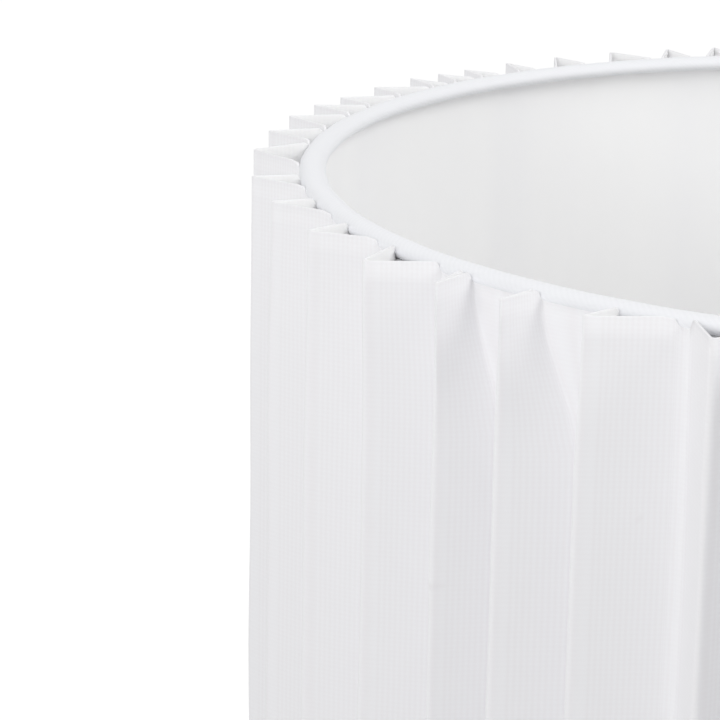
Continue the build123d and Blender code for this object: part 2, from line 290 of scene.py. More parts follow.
def makeStudio(settings):
    scene = bpy.context.scene
    scene.view_settings.view_transform = "Standard"
    mesh = bpy.data.meshes.new("floor")
    reach = settings["floorReach"]
    corners = [(-reach, -reach, 0), (reach, -reach, 0), (reach, reach, 0), (-reach, reach, 0)]
    mesh.from_pydata(corners, [], [(0, 1, 2, 3)])
    floor = addObject("floor", mesh)
    material, tree, surface = newMaterial("paintedStudioFloor", {"Base Color": linear(settings["floorColour"]),
                                                                 "Roughness": 0.9})
    path = addNode(tree, "ShaderNodeLightPath")
    lift = addNode(tree, "ShaderNodeMath", {"operation": "MULTIPLY", 1: settings["floorLift"]},
                   {0: path.outputs["Is Camera Ray"]})
    glow = addNode(tree, "ShaderNodeEmission", {"Color": (1, 1, 1, 1)}, {"Strength": lift.outputs[0]})
    both = addNode(tree, "ShaderNodeAddShader", links={0: surface.outputs[0], 1: glow.outputs[0]})
    tree.links.new(both.outputs[0], tree.nodes["Material Output"].inputs["Surface"])
    mesh.materials.append(material)

    world = bpy.data.worlds.new("studioWorld")
    scene.world = world
    world.use_nodes = True
    tree = world.node_tree
    tree.nodes.clear()
    path = addNode(tree, "ShaderNodeLightPath")
    seen = addNode(tree, "ShaderNodeMath", {"operation": "MAXIMUM"},
                   {0: path.outputs["Is Camera Ray"], 1: path.outputs["Is Glossy Ray"]})
    seen = addNode(tree, "ShaderNodeMath", {"operation": "MAXIMUM"},
                   {0: seen.outputs[0], 1: path.outputs["Is Transmission Ray"]})
    colour = linear(settings["worldColour"])
    dim = addNode(tree, "ShaderNodeBackground", {"Color": colour, "Strength": settings["worldLight"]})
    white = addNode(tree, "ShaderNodeBackground", {"Color": colour, "Strength": 1.0})
    mix = addNode(tree, "ShaderNodeMixShader", links={0: seen.outputs[0], 1: dim.outputs[0], 2: white.outputs[0]})
    addNode(tree, "ShaderNodeOutputWorld", links={"Surface": mix.outputs[0]})

    for name, place, watts in settings["softboxes"]:
        lamp = bpy.data.lights.new(name, "AREA")
        lamp.shape = "DISK"
        lamp.size = settings["softboxSize"]
        lamp.spread = math.radians(settings["softboxSpread"])
        lamp.energy = watts
        holder = addObject(name, lamp)
        holder.location = place
        aim = Vector((0, 0, settings["softboxAim"])) - holder.location
        holder.rotation_euler = aim.to_track_quat("-Z", "Y").to_euler()


makeStudio(studio)
print("studio set")


# the pleated cover: one strip of cloth, folded in and out all the way round

pleats = {
    "count": 54,
    "foldRadius": 100.3,           # corner that the cloth turns round, at the outer folds
    "valleyRadius": 92.8,          # middle of the cloth where it lies against the hem
    "longDrift": 7.4, "longDriftAt": 227.0,      # the folds wander from even spacing as they do on the frame
    "shortDrift": 2.8, "shortDriftAt": 202.0,
    "thickness": 0.4,
    "foldRound": 0.9,              # length of cloth on each side of an outer fold that takes part in its turn
    "valleyRound": 0.8,
    "valleyWidth": 0.1,            # of the plain valley, as a share of the way to the next fold
    "pinchDepth": 22.0,            # how far from the top and bottom edges the cloth is drawn to the hem
    "wobble": 0.22,                # slow unevenness of the flat panels, in waves of these sizes
    "waveSizes": (23.0, 37.0, 61.0),
    "rows": 28,
    # the made-up pleats: ranges of the share at which the cloth reaches the hem, of the share that lies along it and
    # of how far it stands off, and the spread of the folds' distances and leans
    "seed": 7,
    "reachShares": (0.22, 0.46), "flatShares": (0.10, 0.5), "standOff": (0, 0.5), "spread": 0.25,
    # the folds from number 16 on as read off the picture: their shifts in degrees, and how far they stand out
    "firstFold": 16,
    "shifts": [-1.1, -3.0, -3.3, -2.8, -2.0, -1.0, -1.7, -2.1, -0.3, 1.2, 0.3, -0.3, -0.8, -1.0, 0.4, 0.3, 0.9, 1.7,
               1.2, -0.8, -1.4, 1.6],
    "foldOut": [0.3, 0.1, 0.2, -0.1, -0.4, -0.9, -0.7, 0.0, -0.2, -0.2, 0.7, 0.8, 0.5, 0.2, 0.0, -0.6, -0.2, 0.9,
                0.4, 0.0, -0.7, -0.2],
    # from fold 29 on: where at the top edge the cloth reaches the hem and leaves it again, as shares of the way to
    # the next fold, and how far it stands off the hem there
    "firstRead": 29,
    "reach": [0.46, 0.46, 0.50, 0.47, 0.45, -0.16, 0.05, 0.60, 0.45],
    "leave": [0.97, 0.97, 0.86, 0.70, 0.77, 0.98, 1.13, 0.69, 0.61],
    "reachOut": [0.0, 0.0, 0.0, 0.0, 0.0, 0.1, 0.2, 0.1, 0.1],
    "leaveOut": [0.0, 0.0, 0.0, 0.0, 0.2, 0.1, 0.1, 0.1, 0.1],
    # the edge of the cloth is tucked under the hem where it lies against it, inside this radius
    "tuck": 1.3, "tuckRadius": 92.9, "tuckWidth": 0.6, "tuckReach": 6.0,
}


def smoothStep(value):
    value = np.clip(value, 0, 1)
    return value * value * (3 - 2 * value)


def foldAngles(settings):
    # even spacing plus two slow sine drifts, and the listed shift of the folds that show
    number = np.arange(settings["count"])
    even = 360 / settings["count"] * number
    angle = even + settings["longDrift"] * np.sin(np.radians(2 * (even - settings["longDriftAt"])))
    angle += settings["shortDrift"] * np.sin(np.radians(4 * (even - settings["shortDriftAt"])))
    first = settings["firstFold"]
    angle[first:first + len(settings["shifts"])] += settings["shifts"]
    return angle


def onPlan(radius, degrees):
    angle = np.radians(degrees)
    return np.stack([radius * np.cos(angle), radius * np.sin(angle)], -1)


def bend(corner, before, after, length, part):
    # quadratic curve round a corner, from a point on the run before it to one on the run after it; it takes up at
    # most 0.45 of either run
    toBefore, toAfter = before - corner, after - corner
    sizeBefore = np.linalg.norm(toBefore, axis=-1, keepdims=True)
    sizeAfter = np.linalg.norm(toAfter, axis=-1, keepdims=True)
    start = corner + toBefore / sizeBefore * np.minimum(length, 0.45 * sizeBefore)
    end = corner + toAfter / sizeAfter * np.minimum(length, 0.45 * sizeAfter)
    part = part[:, None, None, None]
    return (1 - part) ** 2 * start + 2 * part * (1 - part) * corner + part ** 2 * end


def makePleatedCover(settings):
    # plan: fold, run to the hem, lie along it, run out to the next fold. At the top and bottom edges, where it is
    # sewn, each pleat lies along the hem in its own way, and between them it opens to a plain valley
    count, rows = settings["count"], settings["rows"]
    random = np.random.default_rng(settings["seed"])
    fold = foldAngles(settings)
    gap = np.roll(fold, -1) - fold
    gap[-1] += 360
    table = {"reach": random.uniform(*settings["reachShares"], count),
             "reachOut": random.uniform(*settings["standOff"], count),
             "leaveOut": random.uniform(*settings["standOff"], count)}
    table["leave"] = table["reach"] + random.uniform(*settings["flatShares"], count)
    first = settings["firstRead"]
    for key, values in table.items():
        values[first:first + len(settings[key])] = settings[key]
    reach, leave = table["reach"], table["leave"]
    foldOut = random.normal(0, settings["spread"], count)
    first = settings["firstFold"]
    foldOut[first:first + len(settings["foldOut"])] = settings["foldOut"]
    valley = 0.35 * reach + 0.65 * np.maximum(leave, 0.62)

    # rows that close up a little towards both edges
    along = np.linspace(0, 1, rows)
    along = 0.5 - 0.5 * np.cos(np.pi * (0.12 + 0.76 * along))
    along = (along - along[0]) / (along[-1] - along[0])
    height = shadeBottom + (shadeTop - shadeBottom) * along
    fromEdge = np.minimum(shadeTop - height, height - shadeBottom)
    pinned = 1 - smoothStep(fromEdge / settings["pinchDepth"])

    # (pleats, rows) arrays of the corners
    lean = random.normal(0, settings["spread"], count)
    sway = np.outer(lean, (height - shadeTop) / (shadeTop - shadeBottom))
    foldAt = fold[:, None] + sway
    nextAt = np.roll(foldAt, -1, 0)
    nextAt[-1] += 360
    valleyStart = (valley - settings["valleyWidth"] / 2)[:, None]
    valleyEnd = (valley + settings["valleyWidth"] / 2)[:, None]
    reachAt = fold[:, None] + gap[:, None] * (valleyStart + (reach[:, None] - valleyStart) * pinned)
    leaveAt = fold[:, None] + gap[:, None] * (valleyEnd + (leave[:, None] - valleyEnd) * pinned)
    foldSize = settings["foldRadius"] + foldOut[:, None] * (0.4 + 0.6 * pinned)
    foldPoint = onPlan(foldSize, foldAt)
    nextPoint = onPlan(np.roll(foldSize, -1, 0), nextAt)
    reachPoint = onPlan(settings["valleyRadius"] + table["reachOut"][:, None] * pinned, reachAt)
    leavePoint = onPlan(settings["valleyRadius"] + table["leaveOut"][:, None] * pinned, leaveAt)
    lastPoint = np.roll(leavePoint, 1, 0)

    part = np.linspace(0, 1, 7)
    foldBend = bend(foldPoint, lastPoint, reachPoint, settings["foldRound"], part)
    reachBend = bend(reachPoint, foldPoint, leavePoint, settings["valleyRound"], part[::2])
    leaveBend = bend(leavePoint, reachPoint, nextPoint, settings["valleyRound"], part[::2])
    nextBend = np.roll(foldBend, -1, 1)

    def run(start, end, steps):
        share = np.linspace(0, 1, steps + 2)[1:-1, None, None, None]
        return start + (end - start) * share

    plan = np.concatenate([foldBend, run(foldBend[-1], reachBend[0], 6),
                           reachBend, run(reachBend[-1], leaveBend[0], 2),
                           leaveBend, run(leaveBend[-1], nextBend[0], 5)])
    perPleat = plan.shape[0]
    plan = plan.transpose(2, 1, 0, 3).reshape(rows, count * perPleat, 2)

    # outward normal of the plan, and the distance along the strip
    step = np.roll(plan, -1, 1) - np.roll(plan, 1, 1)
    normal = np.stack([step[..., 1], -step[..., 0]], -1)
    normal /= np.linalg.norm(normal, axis=-1, keepdims=True)
    strip = np.cumsum(np.linalg.norm(plan - np.roll(plan, 1, 1), axis=-1).mean(0))

    # slow unevenness of the panels: a few sine waves along the strip and the height
    wave = np.zeros(plan.shape[:2])
    for size in settings["waveSizes"]:
        phase = random.uniform(0, 2 * np.pi, 2)
        sideways = np.sin(2 * np.pi * strip[None] / size + phase[0])
        wave += sideways * np.sin(2 * np.pi * height[:, None] / (1.7 * size) + phase[1])
    wave *= settings["wobble"] / len(settings["waveSizes"]) * (1 - pinned)[:, None]
    plan = plan + normal * wave[..., None]

    # outer face up, rounded cut edge, inner face down, rounded cut edge
    half = settings["thickness"] / 2
    level = np.repeat(height[:, None], plan.shape[1], 1)
    past = (np.linalg.norm(plan, axis=-1) - settings["tuckRadius"]) / settings["tuckWidth"]
    tucked = settings["tuck"] * (1 - smoothStep(past))
    nearTop = smoothStep(1 - (shadeTop - height) / settings["tuckReach"])[:, None]
    nearBottom = smoothStep(1 - (height - shadeBottom) / settings["tuckReach"])[:, None]
    level = level + tucked * (nearBottom - nearTop)
    outer = np.dstack([plan + normal * half, level])
    inner = np.dstack([plan - normal * half, level])
    top = np.dstack([plan[-1:], level[-1:]])
    bottom = np.dstack([plan[:1], level[:1]])
    edge = 0.35 * half         # the two skins end this far short of the cut edge
    outer[-1, :, 2] -= edge
    inner[-1, :, 2] -= edge
    outer[0, :, 2] += edge
    inner[0, :, 2] += edge
    points = np.concatenate([outer, top, inner[::-1], bottom])
    upright = np.concatenate([height, [shadeTop], height[::-1], [shadeBottom], [shadeBottom]])
    sideways = np.concatenate([[0], strip])
    uv = np.dstack(np.meshgrid(sideways, upright))
    cover = gridPiece("pleatedCover", points, True, True, uv)
    # the rows of faces on the inner skin, which take the second material, the back whose colour is painted lighter as
    # a glow of light through the cloth
    inside = np.zeros(points.shape[0], int)
    inside[rows + 1:2 * rows] = 1
    return cover, float(strip[-1]), np.repeat(inside, plan.shape[1])


def bands(tree, place, direction, pitch, distortion, detail, detailScale=1.0):
    # a wave texture whose bands repeat every so many millimetres
    return addNode(tree, "ShaderNodeTexWave", {"bands_direction": direction, "Scale": 2 * math.pi / 20 / pitch,
                                               "Distortion": distortion, "Detail": detail,
                                               "Detail Scale": detailScale}, {"Vector": place}).outputs["Fac"]


def wovenCloth(name, dark, light, through):
    # plain-woven polyester shade cloth, heat-set in pleats: upright ribs with a weaker weft and the odd slub,
    # which gives the eye a soft matt white with fine upright lines
    ribPitch, weftPitch = 0.72, 0.66         # millimetres, counted in the picture
    material, tree, surface = newMaterial(name, {"Roughness": 0.92, "Specular IOR Level": 0.25, "Sheen Weight": 0.15,
                                                 "Sheen Roughness": 0.5, "Subsurface Weight": through,
                                                 "Subsurface Radius": (1.0, 1.0, 1.0), "Subsurface Scale": 0.0015})
    place = addNode(tree, "ShaderNodeUVMap", {"uv_map": "UVMap"}).outputs[0]
    waver = addNode(tree, "ShaderNodeTexNoise", {"Scale": 0.25, "Detail": 3.0}, {"Vector": place})
    ribs = bands(tree, place, "X", ribPitch, 0.6, 2.0, 0.4)
    weft = bands(tree, place, "Y", weftPitch, 0.9, 2.0, 0.6)
    weave = addNode(tree, "ShaderNodeMix", {"data_type": "FLOAT", "Factor": 0.3}, {"A": ribs, "B": weft})
    slubs = addNode(tree, "ShaderNodeTexNoise", {"Scale": 0.13, "Detail": 1.0}, {"Vector": place})
    spot = addNode(tree, "ShaderNodeMapRange", {"From Min": 0.78, "From Max": 0.84}, {"Value": slubs.outputs["Fac"]})
    tone = addNode(tree, "ShaderNodeMix", {"data_type": "RGBA", "A": linear(dark), "B": linear(light)},
                   {"Factor": weave.outputs[0]})
    patch = addNode(tree, "ShaderNodeMix", {"data_type": "RGBA", "B": linear("#ECEAEC")},
                    {"Factor": spot.outputs[0], "A": tone.outputs[2]})
    tree.links.new(patch.outputs[2], surface.inputs["Base Color"])
    rough = addNode(tree, "ShaderNodeMapRange", {"To Min": 0.86, "To Max": 0.97}, {"Value": waver.outputs["Fac"]})
    tree.links.new(rough.outputs[0], surface.inputs["Roughness"])
    relief = addNode(tree, "ShaderNodeBump", {"Strength": 0.12, "Distance": 0.00005}, {"Height": weave.outputs[0]})
    tree.links.new(relief.outputs[0], surface.inputs["Normal"])
    return material


clothMaterial = wovenCloth("wovenShadeCloth", "#F2F1F3", "#F5F5F7", 0.0)
# the back of the same cloth: some real subsurface scattering, plus base colours painted lighter than the face's as a
# painted glow for the daylight that comes through it from the other face
clothBackGlowMaterial = wovenCloth("wovenShadeClothBackPaintedGlow", "#FAFAFC", "#FCFCFD", 0.8)
coverPiece, stripLength, insideFaces = makePleatedCover(pleats)
finishPiece(coverPiece, clothMaterial, "shade", "pleat_fabric", "pleated_cover")
coverPiece.data.materials.append(clothBackGlowMaterial)
coverPiece.data.polygons.foreach_set("material_index", insideFaces)
print("pleated cover made from a strip of", round(stripLength), "mm")


# materials: patterns are in millimetres of the object's own coordinates

def inMillimetres(tree):
    place = addNode(tree, "ShaderNodeTexCoord")
    return addNode(tree, "ShaderNodeVectorMath", {"operation": "SCALE", "Scale": 1 / mm},
                   {0: place.outputs["Object"]}).outputs[0]


def roundTheStem(tree):
    # distance from the stem's axis and height, so that a pattern made from them runs in rings, as turning leaves it
    place = addNode(tree, "ShaderNodeSeparateXYZ", links={0: inMillimetres(tree)})
    flat = addNode(tree, "ShaderNodeCombineXYZ", links={"X": place.outputs["X"], "Y": place.outputs["Y"]})
    radius = addNode(tree, "ShaderNodeVectorMath", {"operation": "LENGTH"}, {0: flat.outputs[0]})
    return addNode(tree, "ShaderNodeCombineXYZ",
                   links={"X": radius.outputs["Value"], "Z": place.outputs["Z"]}).outputs[0]


def noiseBetween(tree, place, size, low, high, detail=3.0, stretch=(1, 1, 1)):
    # noise with features of that size in millimetres, spread from low to high
    scales = tuple(part / size for part in stretch)
    spread = addNode(tree, "ShaderNodeVectorMath", {"operation": "MULTIPLY", 1: scales}, {0: place})
    noise = addNode(tree, "ShaderNodeTexNoise", {"Scale": 1.0, "Detail": detail}, {"Vector": spread.outputs[0]})
    return addNode(tree, "ShaderNodeMapRange", {"From Min": 0.3, "From Max": 0.7, "To Min": low, "To Max": high},
                   {"Value": noise.outputs["Fac"]}).outputs[0]


def colourBetween(tree, surface, factor, first, second):
    mix = addNode(tree, "ShaderNodeMix", {"data_type": "RGBA", "A": linear(first), "B": linear(second)},
                  {"Factor": factor})
    tree.links.new(mix.outputs[2], surface.inputs["Base Color"])


def roughened(tree, surface, socket):
    tree.links.new(socket, surface.inputs["Roughness"])


def bumped(tree, surface, height, depth, strength=0.5):
    relief = addNode(tree, "ShaderNodeBump", {"Strength": strength, "Distance": depth * mm}, {"Height": height})
    tree.links.new(relief.outputs[0], surface.inputs["Normal"])


def bindingTape():
    # cotton tape wound on the wire: matt bright white, with a fine twill that the light just picks out
    twillPitch = 0.45
    material, tree, surface = newMaterial("cottonBindingTape", {"Specular IOR Level": 0.2, "Sheen Weight": 0.2,
                                                                "Sheen Roughness": 0.6})
    place = addNode(tree, "ShaderNodeUVMap", {"uv_map": "UVMap"}).outputs[0]
    twill = bands(tree, place, "DIAGONAL", twillPitch, 0.5, 1.0)
    colourBetween(tree, surface, twill, "#EEEFF2", "#F0F1F4")
    roughened(tree, surface, noiseBetween(tree, place, 1.5, 0.85, 0.95))
    bumped(tree, surface, twill, 0.04, 0.05)
    return material


def patterned(name, shader, colours, tone, gloss, relief, depth, strength=0.5, placing=inMillimetres):
    # three noises, each given by its size, range, detail and stretch: tone moves between the two colours, gloss
    # between two roughnesses, and relief bumps the surface to that depth
    material, tree, surface = newMaterial(name, shader)
    place = placing(tree)
    colourBetween(tree, surface, noiseBetween(tree, place, *tone), *colours)
    roughened(tree, surface, noiseBetween(tree, place, *gloss))
    bumped(tree, surface, noiseBetween(tree, place, *relief), depth, strength)
    return material


def mouldedPlastic(name, colours, smooth, dull):
    # moulded thermoplastic: an even colour, a fine spark-eroded texture and soft wide highlights
    return patterned(name, {"Specular IOR Level": 0.5}, colours,
                     (9.0, 0, 1), (2.0, smooth, dull), (0.35, 0, 1, 1.0), 0.015, 0.3)


def rolledMetal(name, colours, smooth, dull):
    # thin rolled sheet: drawn lines and a thin film of tarnish that changes the gloss
    return patterned(name, {"Metallic": 1.0}, colours,
                     (3.0, 0, 1, 4.0), (0.8, smooth, dull, 4.0, (1, 1, 0.2)), (0.3, 0, 1, 2.0, (1, 1, 0.15)), 0.01)


# white styrene film: a smooth half-matt skin with faint upright bands where the pleats lie behind it, painted shade
# in its colour and a slight bump in its surface
filmMaterial = patterned("whiteStyreneFilm", {"Specular IOR Level": 0.35}, ("#F9F9FA", "#FCFCFC"),
                         (11.0, 0, 1, 2.0, (1, 1, 0.04)), (4.0, 0.55, 0.68), (5.0, 0, 1, 1.0, (1, 1, 0.05)),
                         0.02, 0.3)
tapeMaterial = bindingTape()
# baked white powder coat on the spider: a little gloss over fine orange peel
coatMaterial = patterned("whitePowderCoat", {"Specular IOR Level": 0.5}, ("#ECECEC", "#F1F1F0"),
                         (12.0, 0, 1), (3.0, 0.34, 0.46), (0.7, 0, 1, 1.0), 0.03, 0.4)
# turned and brushed steel: fine rings that smear the reflections, and a slow change in how bright they are
steelMaterial = patterned("brushedSatinSteel", {"Metallic": 1.0}, ("#CDCCCA", "#D8D8D7"),
                          (0.5, 0, 1, 4.0), (0.28, 0.27, 0.42, 4.0), (0.2, 0, 1, 3.0), 0.01, 0.35, roundTheStem)
# sand-cast weight: dark, dull and grainy
ironMaterial = patterned("sandCastIron", {"Metallic": 0.4}, ("#39393B", "#504F50"),
                         (3.0, 0, 1, 6.0), (1.5, 0.6, 0.85), (1.2, 0, 1, 5.0), 0.25, 0.6)
# charcoal wool felt: matted fibres that scatter light at grazing angles
feltMaterial = patterned("charcoalFelt", {"Specular IOR Level": 0.1, "Sheen Weight": 0.6, "Sheen Roughness": 0.5},
                         ("#2D2D30", "#4A4A4D"),
                         (0.9, 0, 1, 6.0), (2.0, 0.9, 1.0), (0.35, 0, 1, 4.0, (1, 0.5, 1)), 0.15, 0.7)
# black moulded rubber: dull, with a faint bloom
rubberMaterial = patterned("blackGrommetRubber", {"Specular IOR Level": 0.4}, ("#222223", "#323233"),
                           (2.0, 0, 1), (1.0, 0.55, 0.75), (0.3, 0, 1), 0.02)
# bright zinc on small steel parts: grey-blue, clouded where the bath left it thicker
zincMaterial = patterned("zincPlatedSteel", {"Metallic": 1.0}, ("#BFC2C6", "#D2D4D6"),
                         (2.5, 0, 1, 4.0), (1.2, 0.28, 0.5), (0.4, 0, 1), 0.01)
holderMaterial = mouldedPlastic("whiteHolderPlastic", ("#EFEFED", "#F3F3F1"), 0.3, 0.42)
bulbMaterial = mouldedPlastic("whiteBulbPlastic", ("#F2F2F2", "#F6F6F6"), 0.24, 0.32)
opalMaterial = mouldedPlastic("opalDiffuser", ("#F5F3EC", "#F8F7F2"), 0.42, 0.5)
# steatite insulator under a thin glaze: off-white, glassy, with slight waves
ceramicMaterial = patterned("glazedSteatite", {"Coat Weight": 0.6, "Coat Roughness": 0.06}, ("#EDEAE0", "#F3F1EA"),
                            (5.0, 0, 1), (2.0, 0.18, 0.3), (3.0, 0, 1, 1.0), 0.04)
brassMaterial = rolledMetal("contactBrass", ("#C7A45C", "#DCBE7C"), 0.22, 0.4)
capMetalMaterial = rolledMetal("aluminiumScrewCap", ("#CFCFD1", "#DEDEE0"), 0.2, 0.36)
print("materials made")


# liner and the two bound rings

liner = {
    "thickness": 0.4,
    "unevenness": 0.035,       # how far the pleats behind push the film about
    "waves": [(54, 0.3, 0.5), (31, 1.9, -0.7), (12, 4.0, 0.4)],      # times round, start, and drift with the height
    "inset": 2.2,              # keeps the waves inside the film's own radius, in units of the unevenness
    # the glued seam allowance on its outside, along both edges
    "seam": 0.42, "seamHeight": 9.0, "seamTaper": 4.0,
    "edgeUnderHem": 1.6,       # how far its edges end short of the CAD liner's, under the hem
    "around": 432,
    "rows": 16,
}


def makeLiner(settings):
    # a tube of two skins: radius = skin + three sines of the angle, whose phase drifts a little with the height
    low, high = nodeBox("shade_liner")
    angle = onceRound(settings["around"])[None]
    height = np.linspace(low[2] + settings["edgeUnderHem"], high[2] - settings["edgeUnderHem"], settings["rows"])
    height = height[:, None]
    drift = (height - low[2]) / (high[2] - low[2])
    waves = sum(np.sin(times * angle + phase + drift * lean) for times, phase, lean in settings["waves"])
    fromEdge = np.minimum(height - low[2], high[2] - height)
    seam = settings["seam"] * smoothStep((settings["seamHeight"] - fromEdge) / settings["seamTaper"])
    skins = []
    for radius, direction in ((high[0], 1), (high[0] - settings["thickness"], -1)):
        size = radius + settings["unevenness"] * (waves - settings["inset"]) + seam * (direction > 0)
        skins.append(np.stack([size * np.cos(angle), size * np.sin(angle), height + 0 * angle], -1)[::direction])
    return gridPiece("shadeLiner", np.concatenate(skins), True, True, merge=True)


linerPiece = makeLiner(liner)
linerPiece.data.set_sharp_from_angle(angle=sharpFrom)
finishPiece(linerPiece, filmMaterial, "shade", "liner_film", "shade_liner")

hem = {
    "outside": 93.1,           # the tape is carried outwards over the edges of the liner and the cloth
    "unevenness": 0.07,        # slow change in the thickness of the binding
    "swells": (5, 9, 17, 26, 43),      # how many times round each of its waves repeats
    "lift": 0.8,               # the roll sits this far beyond the ring, on the edge of the cloth
    "flatness": 0.85,
    "lapStep": 0.02,           # where one turn of the tape lies over the last
    "lapPitch": 8.0,
    "around": 720,
    "across": 24,
}


def makeHem(name, node, seed, settings):
    # torus with an oval section from the ring's inside to the outside of the cloth: the section swells slowly along
    # the ring, and steps at each turn of the tape
    low, high = nodeBox(node)
    size = (high[2] - low[2]) / 2
    inside = high[0] - 2 * size
    ring, level = (settings["outside"] + inside) / 2, (high[2] + low[2]) / 2
    stretch = (settings["outside"] - inside) / 2 / size
    along = onceRound(settings["around"])[:, None]
    across = onceRound(settings["across"])[None]
    random = np.random.default_rng(seed)
    swell = sum(np.sin(times * along + random.uniform(0, 6.3) + across * random.integers(-1, 2))
                for times in settings["swells"]) / len(settings["swells"])
    turns = round(2 * np.pi * ring / settings["lapPitch"])
    lap = (turns * along + across) / (2 * np.pi) % 1
    radius = size + settings["unevenness"] * swell + settings["lapStep"] * (0.5 - lap)
    away = ring + stretch * radius * np.cos(across)
    lifted = level + settings["lift"] * np.sign(level - (shadeTop + shadeBottom) / 2)
    up = lifted + settings["flatness"] * radius * np.sin(across)
    points = np.stack([away * np.cos(along), away * np.sin(along), up], -1)
    mapAlong = ring * np.linspace(0, 2 * np.pi, settings["around"] + 1)
    mapAcross = size * np.linspace(0, 2 * np.pi, settings["across"] + 1)
    uv = np.stack(np.meshgrid(mapAlong, mapAcross, indexing="ij"), -1)
    return finishPiece(gridPiece(name, points, True, True, uv, merge=True), tapeMaterial, "shade", "bound_wire", node)


makeHem("topBoundRing", "top_ring", 11, hem)
makeHem("bottomBoundRing", "bottom_ring", 12, hem)
print("liner and bound rings made")


# spider: fitter and three wire arms

spider = {
    "fitterHole": 21.0,
    "fitterEdge": 0.55,
    "bend": 9.0,
    "head": 5.0,
    "foot": 9.0,
    "arms": 3,
    "weld": 0.35,              # how much the weld thickens the wire at both ends
    "weldLength": 1.1,
    "sides": 28,
}


def makeFitter(settings):
    low, high = nodeBox("fitter_ring")
    corners = squareSection(settings["fitterHole"], high[0], low[2], high[2])
    outline = refine(roundCorners(corners, [settings["fitterEdge"]] * 4, True), True, 3.0)
    return finishPiece(turned("fitterPlate", outline), coatMaterial, "shade", "spider_wire", "fitter_ring")


def makeArm(number, settings):
    # tube along a bent path in an upright plane; its radius grows by a bell curve towards each welded end
    plateLow, plateHigh = nodeBox("fitter_ring")
    ringLow, ringHigh = nodeBox("bottom_ring")
    wire = nodeBox("spider_arm_1")
    radius = (wire[1][0] - wire[0][0]) / 2
    ringInside = ringHigh[0] - (ringHigh[2] - ringLow[2])
    upper, lower = (plateLow[2] + plateHigh[2]) / 2, (ringLow[2] + ringHigh[2]) / 2
    start, end = plateHigh[0] + 0.05, ringInside - 0.1         # just clear of the plate and the tape
    corners = [(start, upper), (start + settings["head"], upper), (end - settings["foot"], lower), (end, lower)]
    bent = roundCorners(corners, [0, settings["bend"], settings["bend"], 0], False, 12)
    path = refine(bent, False, 0.5)
    ahead = np.gradient(path, axis=0)
    ahead /= np.linalg.norm(ahead, axis=1, keepdims=True)
    run = np.append(0, np.cumsum(np.linalg.norm(np.diff(path, axis=0), axis=1)))
    near = np.minimum(run, run[-1] - run)
    size = radius + settings["weld"] * np.exp(-(near / settings["weldLength"]) ** 2)
    path = np.concatenate([path[:1], path, path[-1:]])
    ahead = np.concatenate([ahead[:1], ahead, ahead[-1:]])
    size = np.concatenate([[0], size, [0]])[:, None]
    turn = onceRound(settings["sides"])[None]
    away = path[:, :1] - ahead[:, 1:] * size * np.cos(turn)
    height = path[:, 1:] + ahead[:, :1] * size * np.cos(turn)
    side = size * np.sin(turn)
    angle = math.radians(90 + 360 / settings["arms"] * number)
    points = np.stack([away * math.cos(angle) - side * math.sin(angle),
                       away * math.sin(angle) + side * math.cos(angle), height], -1)
    piece = gridPiece("spiderArm%d" % (number + 1), points, False, True, merge=True)
    piece.data.set_sharp_from_angle(angle=math.radians(50))
    return finishPiece(piece, coatMaterial, "shade", "spider_wire", "spider_arm_%d" % (number + 1))


makeFitter(spider)
for number in range(spider["arms"]):
    makeArm(number, spider)
print("spider made")


# base: felt pad, spun cover with its inlet, grommet; collar and stem

base = {
    "topEdge": 2.4,
    "lip": 0.35,
    "sheet": 1.2,
    "hole": 5.3,
    "inletRadius": 4.15,
    "inletHeight": 6.3,
    "grommetBore": 3.0, "grommetNeck": 4.1, "grommetFlange": 1.3,
    "feltEdge": 0.5,
    "feltWander": 0.12,        # how far the cut edge of the felt wanders
    "collarHole": 6.55,
    "collarEdge": 1.5,
    "stemHole": 5.3,
}


